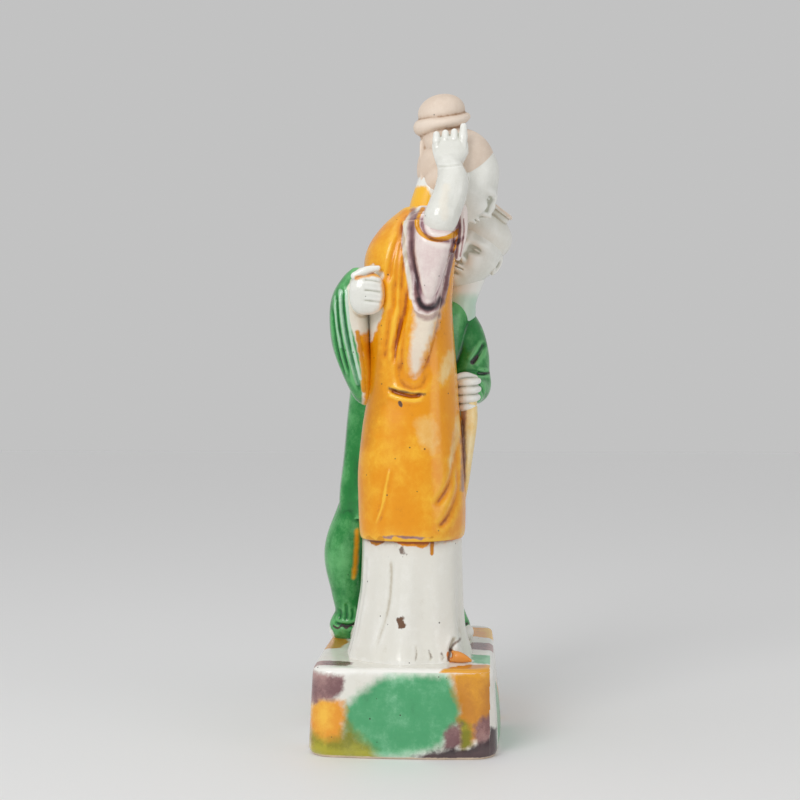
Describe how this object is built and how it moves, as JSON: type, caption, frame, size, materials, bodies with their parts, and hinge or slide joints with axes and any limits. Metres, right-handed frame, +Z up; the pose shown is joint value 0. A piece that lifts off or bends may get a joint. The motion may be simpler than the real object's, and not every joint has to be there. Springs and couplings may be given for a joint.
{
  "type": "glazed biscuit porcelain figure group",
  "caption": "Glazed biscuit porcelain group of a stooping robed scholar held up by a boy, fired as one piece on a hollow splashed plinth.",
  "frame": {"origin": "centre of the bounding box in plan, at the foot of the plinth, where the group stands", "axes": "+Z up; +X the way the scholar faces and walks; +Y from the scholar to the boy, so that -Y is the side that the picture shows"},
  "size_m": [0.0846, 0.111, 0.272],
  "materials": {
    "lead_glaze": "glossy lead glazes in amber yellow, leaf green, aubergine and clear over white biscuit porcelain, with the cap left almost bare"
  },
  "bodies": {
    "root": {"figure_group": "lead_glaze"}
  },
  "joints": []
}
